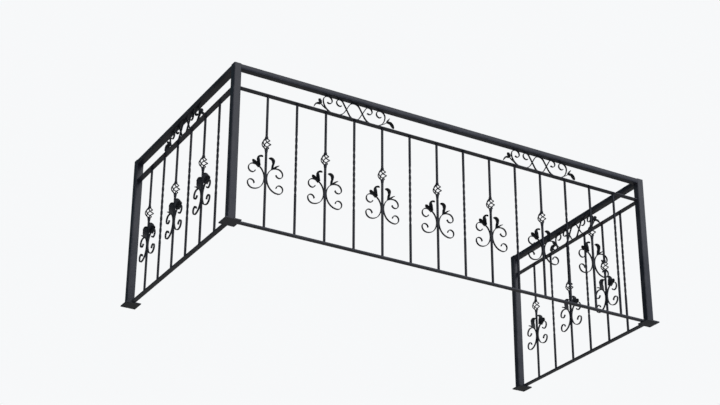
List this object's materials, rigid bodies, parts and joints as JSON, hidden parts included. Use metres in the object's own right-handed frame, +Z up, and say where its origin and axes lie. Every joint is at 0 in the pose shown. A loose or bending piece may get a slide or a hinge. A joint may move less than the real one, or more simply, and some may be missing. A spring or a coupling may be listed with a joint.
{
  "type": "balcony railing",
  "caption": "U-shaped iron balcony railing on posts, with basket bars, twisted bars, scrolls and a scroll frieze under a flat handrail.",
  "frame": {"origin": "centre of the bounding box at the underside of the base plates, where the railing meets the slab", "axes": "+X to the right along the front seen from outside, +Y towards the wall, +Z up"},
  "size_m": [3.14, 1.54, 1.05],
  "materials": {
    "tube_iron": "semi-gloss black paint over welded steel tube, faintly dusty on top",
    "bar_iron": "semi-gloss black paint over square forged bar",
    "scroll_iron": "semi-gloss black paint over bent strap and stamped leaves",
    "plate_iron": "black paint, worn at the edges"
  },
  "bodies": {
    "root": {"front_left_post": "tube_iron", "front_right_post": "tube_iron", "wall_left_post": "tube_iron", "wall_right_post": "tube_iron", "base_plates": "plate_iron", "front_top_rail": "tube_iron", "left_top_rail": "tube_iron", "right_top_rail": "tube_iron", "front_frieze_rail": "tube_iron", "left_frieze_rail": "tube_iron", "right_frieze_rail": "tube_iron", "front_sole_rail": "tube_iron", "left_sole_rail": "tube_iron", "right_sole_rail": "tube_iron", "front_left_frieze": "scroll_iron", "front_right_frieze": "scroll_iron", "left_frieze": "scroll_iron", "right_frieze": "scroll_iron", "front_scroll_pairs": "scroll_iron", "left_scroll_pairs": "scroll_iron", "right_scroll_pairs": "scroll_iron", "front_basket_bar_1": "bar_iron", "front_basket_bar_2": "bar_iron", "front_basket_bar_3": "bar_iron", "front_basket_bar_4": "bar_iron", "front_basket_bar_5": "bar_iron", "front_basket_bar_6": "bar_iron", "front_basket_bar_7": "bar_iron", "front_twisted_bar_1": "bar_iron", "front_twisted_bar_2": "bar_iron", "front_twisted_bar_3": "bar_iron", "front_twisted_bar_4": "bar_iron", "front_twisted_bar_5": "bar_iron", "front_twisted_bar_6": "bar_iron", "front_twisted_bar_7": "bar_iron", "left_basket_bar_1": "bar_iron", "left_basket_bar_2": "bar_iron", "left_basket_bar_3": "bar_iron", "left_twisted_bar_1": "bar_iron", "left_twisted_bar_2": "bar_iron", "left_twisted_bar_3": "bar_iron", "right_basket_bar_1": "bar_iron", "right_basket_bar_2": "bar_iron", "right_basket_bar_3": "bar_iron", "right_twisted_bar_1": "bar_iron", "right_twisted_bar_2": "bar_iron", "right_twisted_bar_3": "bar_iron"}
  },
  "joints": []
}
